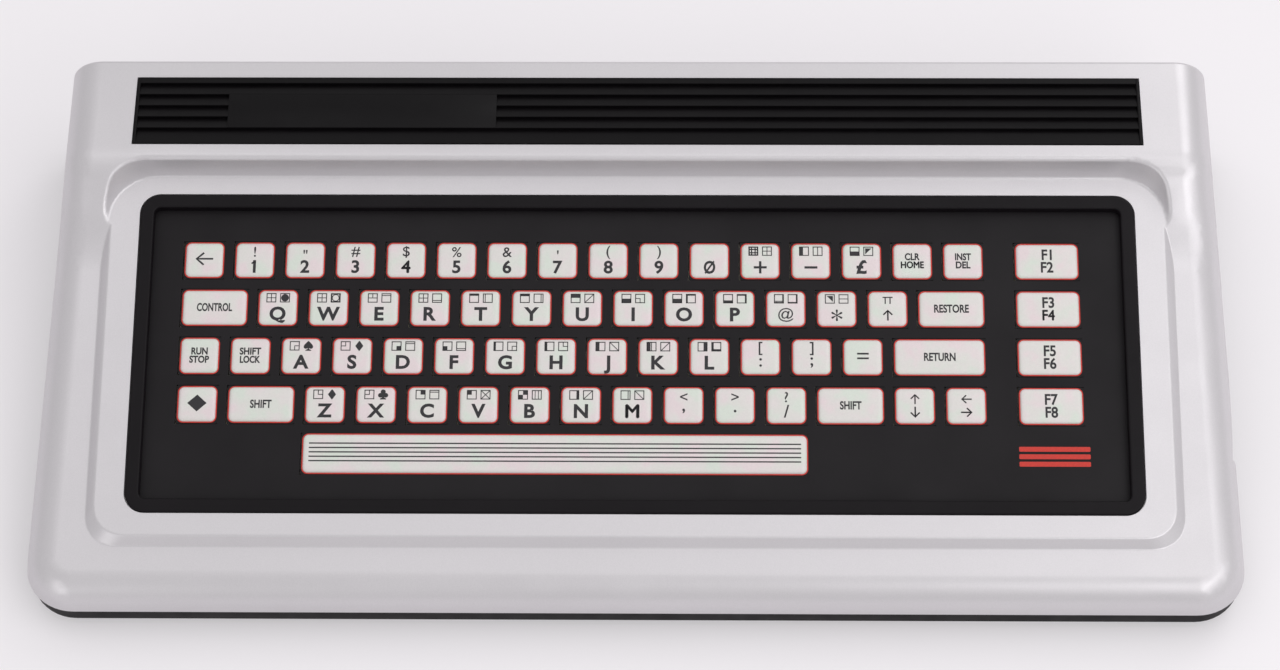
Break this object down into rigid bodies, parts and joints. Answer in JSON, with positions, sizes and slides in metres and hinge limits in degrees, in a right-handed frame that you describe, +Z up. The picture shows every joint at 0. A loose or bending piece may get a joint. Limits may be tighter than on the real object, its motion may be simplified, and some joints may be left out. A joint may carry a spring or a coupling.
{
  "type": "vintage home computer",
  "caption": "Low wedge-shaped home computer with a silver case, a raised keyboard platform of flat pads in a black frame, and a ribbed strip along its rear deck.",
  "frame": {"origin": "centre of the footprint, on the table under the rubber feet", "axes": "+X to the right along the keyboard, +Y to the rear, +Z up"},
  "size_m": [0.36, 0.166, 0.0539],
  "materials": {
    "silver_plastic": "satin silver paint",
    "black_plastic": "fine matt",
    "key_sheet": "matt film",
    "key_pearl": "satin pearl",
    "film": "clear film",
    "plated_steel": "dull plating",
    "board_green": "solder mask",
    "chip_black": "moulded",
    "bare_aluminium": "as drawn",
    "socket_white": "moulded",
    "socket_black": "moulded",
    "foot_rubber": "matt",
    "rocker_black": "polished",
    "slider_white": "moulded"
  },
  "bodies": {
    "computer": {"top_case": "silver_plastic", "base_case": "black_plastic", "trim_strip": "black_plastic", "keyboard_bezel": "black_plastic", "key_overlay": "key_sheet", "spacer_sheet": "film", "circuit_sheet": "film", "backing_plate": "plated_steel", "main_board": "board_green", "logic_chips": "chip_black", "heat_sink": "bare_aluminium", "ribbon_connector": "socket_white", "rf_modulator": "plated_steel", "cartridge_connector": "socket_black", "control_ports": "socket_black", "power_socket": "socket_black", "power_switch_housing": "socket_black", "av_socket": "socket_black", "channel_switch_housing": "socket_black", "rubber_feet": "foot_rubber"},
    "key_a": {"key_a": "key_pearl"},
    "key_b": {"key_b": "key_pearl"},
    "key_c": {"key_c": "key_pearl"},
    "key_d": {"key_d": "key_pearl"},
    "key_e": {"key_e": "key_pearl"},
    "key_f": {"key_f": "key_pearl"},
    "key_g": {"key_g": "key_pearl"},
    "key_h": {"key_h": "key_pearl"},
    "key_i": {"key_i": "key_pearl"},
    "key_j": {"key_j": "key_pearl"},
    "key_k": {"key_k": "key_pearl"},
    "key_l": {"key_l": "key_pearl"},
    "key_m": {"key_m": "key_pearl"},
    "key_n": {"key_n": "key_pearl"},
    "key_o": {"key_o": "key_pearl"},
    "key_p": {"key_p": "key_pearl"},
    "key_q": {"key_q": "key_pearl"},
    "key_r": {"key_r": "key_pearl"},
    "key_s": {"key_s": "key_pearl"},
    "key_t": {"key_t": "key_pearl"},
    "key_u": {"key_u": "key_pearl"},
    "key_v": {"key_v": "key_pearl"},
    "key_w": {"key_w": "key_pearl"},
    "key_x": {"key_x": "key_pearl"},
    "key_y": {"key_y": "key_pearl"},
    "key_z": {"key_z": "key_pearl"},
    "key_control": {"key_control": "key_pearl"},
    "key_restore": {"key_restore": "key_pearl"},
    "key_return": {"key_return": "key_pearl"},
    "key_shift_left": {"key_shift_left": "key_pearl"},
    "key_shift_right": {"key_shift_right": "key_pearl"},
    "key_space": {"key_space": "key_pearl"},
    "number_keys": {"number_keys": "key_pearl"},
    "symbol_keys": {"symbol_keys": "key_pearl"},
    "function_keys": {"function_keys": "key_pearl"},
    "power_rocker": {"power_rocker": "rocker_black"},
    "channel_slider": {"channel_slider": "slider_white"}
  },
  "joints": [
    {"name": "key_a_press", "type": "slide", "parent": "computer", "child": "key_a", "axis": [0, -0.1668, 0.986], "range_m": [-0.0006, 0], "stiffness_N_per_m": 40, "springref_m": 0.0005},
    {"name": "key_b_press", "type": "slide", "parent": "computer", "child": "key_b", "axis": [0, -0.1668, 0.986], "range_m": [-0.0006, 0], "stiffness_N_per_m": 40, "springref_m": 0.0005},
    {"name": "key_c_press", "type": "slide", "parent": "computer", "child": "key_c", "axis": [0, -0.1668, 0.986], "range_m": [-0.0006, 0], "stiffness_N_per_m": 40, "springref_m": 0.0005},
    {"name": "key_d_press", "type": "slide", "parent": "computer", "child": "key_d", "axis": [0, -0.1668, 0.986], "range_m": [-0.0006, 0], "stiffness_N_per_m": 40, "springref_m": 0.0005},
    {"name": "key_e_press", "type": "slide", "parent": "computer", "child": "key_e", "axis": [0, -0.1668, 0.986], "range_m": [-0.0006, 0], "stiffness_N_per_m": 40, "springref_m": 0.0005},
    {"name": "key_f_press", "type": "slide", "parent": "computer", "child": "key_f", "axis": [0, -0.1668, 0.986], "range_m": [-0.0006, 0], "stiffness_N_per_m": 40, "springref_m": 0.0005},
    {"name": "key_g_press", "type": "slide", "parent": "computer", "child": "key_g", "axis": [0, -0.1668, 0.986], "range_m": [-0.0006, 0], "stiffness_N_per_m": 40, "springref_m": 0.0005},
    {"name": "key_h_press", "type": "slide", "parent": "computer", "child": "key_h", "axis": [0, -0.1668, 0.986], "range_m": [-0.0006, 0], "stiffness_N_per_m": 40, "springref_m": 0.0005},
    {"name": "key_i_press", "type": "slide", "parent": "computer", "child": "key_i", "axis": [0, -0.1668, 0.986], "range_m": [-0.0006, 0], "stiffness_N_per_m": 40, "springref_m": 0.0005},
    {"name": "key_j_press", "type": "slide", "parent": "computer", "child": "key_j", "axis": [0, -0.1668, 0.986], "range_m": [-0.0006, 0], "stiffness_N_per_m": 40, "springref_m": 0.0005},
    {"name": "key_k_press", "type": "slide", "parent": "computer", "child": "key_k", "axis": [0, -0.1668, 0.986], "range_m": [-0.0006, 0], "stiffness_N_per_m": 40, "springref_m": 0.0005},
    {"name": "key_l_press", "type": "slide", "parent": "computer", "child": "key_l", "axis": [0, -0.1668, 0.986], "range_m": [-0.0006, 0], "stiffness_N_per_m": 40, "springref_m": 0.0005},
    {"name": "key_m_press", "type": "slide", "parent": "computer", "child": "key_m", "axis": [0, -0.1668, 0.986], "range_m": [-0.0006, 0], "stiffness_N_per_m": 40, "springref_m": 0.0005},
    {"name": "key_n_press", "type": "slide", "parent": "computer", "child": "key_n", "axis": [0, -0.1668, 0.986], "range_m": [-0.0006, 0], "stiffness_N_per_m": 40, "springref_m": 0.0005},
    {"name": "key_o_press", "type": "slide", "parent": "computer", "child": "key_o", "axis": [0, -0.1668, 0.986], "range_m": [-0.0006, 0], "stiffness_N_per_m": 40, "springref_m": 0.0005},
    {"name": "key_p_press", "type": "slide", "parent": "computer", "child": "key_p", "axis": [0, -0.1668, 0.986], "range_m": [-0.0006, 0], "stiffness_N_per_m": 40, "springref_m": 0.0005},
    {"name": "key_q_press", "type": "slide", "parent": "computer", "child": "key_q", "axis": [0, -0.1668, 0.986], "range_m": [-0.0006, 0], "stiffness_N_per_m": 40, "springref_m": 0.0005},
    {"name": "key_r_press", "type": "slide", "parent": "computer", "child": "key_r", "axis": [0, -0.1668, 0.986], "range_m": [-0.0006, 0], "stiffness_N_per_m": 40, "springref_m": 0.0005},
    {"name": "key_s_press", "type": "slide", "parent": "computer", "child": "key_s", "axis": [0, -0.1668, 0.986], "range_m": [-0.0006, 0], "stiffness_N_per_m": 40, "springref_m": 0.0005},
    {"name": "key_t_press", "type": "slide", "parent": "computer", "child": "key_t", "axis": [0, -0.1668, 0.986], "range_m": [-0.0006, 0], "stiffness_N_per_m": 40, "springref_m": 0.0005},
    {"name": "key_u_press", "type": "slide", "parent": "computer", "child": "key_u", "axis": [0, -0.1668, 0.986], "range_m": [-0.0006, 0], "stiffness_N_per_m": 40, "springref_m": 0.0005},
    {"name": "key_v_press", "type": "slide", "parent": "computer", "child": "key_v", "axis": [0, -0.1668, 0.986], "range_m": [-0.0006, 0], "stiffness_N_per_m": 40, "springref_m": 0.0005},
    {"name": "key_w_press", "type": "slide", "parent": "computer", "child": "key_w", "axis": [0, -0.1668, 0.986], "range_m": [-0.0006, 0], "stiffness_N_per_m": 40, "springref_m": 0.0005},
    {"name": "key_x_press", "type": "slide", "parent": "computer", "child": "key_x", "axis": [0, -0.1668, 0.986], "range_m": [-0.0006, 0], "stiffness_N_per_m": 40, "springref_m": 0.0005},
    {"name": "key_y_press", "type": "slide", "parent": "computer", "child": "key_y", "axis": [0, -0.1668, 0.986], "range_m": [-0.0006, 0], "stiffness_N_per_m": 40, "springref_m": 0.0005},
    {"name": "key_z_press", "type": "slide", "parent": "computer", "child": "key_z", "axis": [0, -0.1668, 0.986], "range_m": [-0.0006, 0], "stiffness_N_per_m": 40, "springref_m": 0.0005},
    {"name": "key_control_press", "type": "slide", "parent": "computer", "child": "key_control", "axis": [0, -0.1668, 0.986], "range_m": [-0.0006, 0], "stiffness_N_per_m": 60, "springref_m": 0.0005},
    {"name": "key_restore_press", "type": "slide", "parent": "computer", "child": "key_restore", "axis": [0, -0.1668, 0.986], "range_m": [-0.0006, 0], "stiffness_N_per_m": 60, "springref_m": 0.0005},
    {"name": "key_return_press", "type": "slide", "parent": "computer", "child": "key_return", "axis": [0, -0.1668, 0.986], "range_m": [-0.0006, 0], "stiffness_N_per_m": 60, "springref_m": 0.0005},
    {"name": "key_shift_left_press", "type": "slide", "parent": "computer", "child": "key_shift_left", "axis": [0, -0.1668, 0.986], "range_m": [-0.0006, 0], "stiffness_N_per_m": 60, "springref_m": 0.0005},
    {"name": "key_shift_right_press", "type": "slide", "parent": "computer", "child": "key_shift_right", "axis": [0, -0.1668, 0.986], "range_m": [-0.0006, 0], "stiffness_N_per_m": 60, "springref_m": 0.0005},
    {"name": "key_space_press", "type": "slide", "parent": "computer", "child": "key_space", "axis": [0, -0.1668, 0.986], "range_m": [-0.0006, 0], "stiffness_N_per_m": 150, "springref_m": 0.0005},
    {"name": "number_keys_press", "type": "slide", "parent": "computer", "child": "number_keys", "axis": [0, -0.1668, 0.986], "range_m": [-0.0006, 0], "stiffness_N_per_m": 250, "springref_m": 0.0005},
    {"name": "symbol_keys_press", "type": "slide", "parent": "computer", "child": "symbol_keys", "axis": [0, -0.1668, 0.986], "range_m": [-0.0006, 0], "stiffness_N_per_m": 250, "springref_m": 0.0005},
    {"name": "function_keys_press", "type": "slide", "parent": "computer", "child": "function_keys", "axis": [0, -0.1668, 0.986], "range_m": [-0.0006, 0], "stiffness_N_per_m": 120, "springref_m": 0.0005},
    {"name": "power_switch", "type": "hinge", "parent": "computer", "child": "power_rocker", "pos_m": [0.1722, 0.041, 0.0161], "axis": [0, 0, 1], "range_deg": [0, 20]},
    {"name": "channel_switch", "type": "slide", "parent": "computer", "child": "channel_slider", "axis": [1, 0, 0], "range_m": [0, 0.003]}
  ]
}
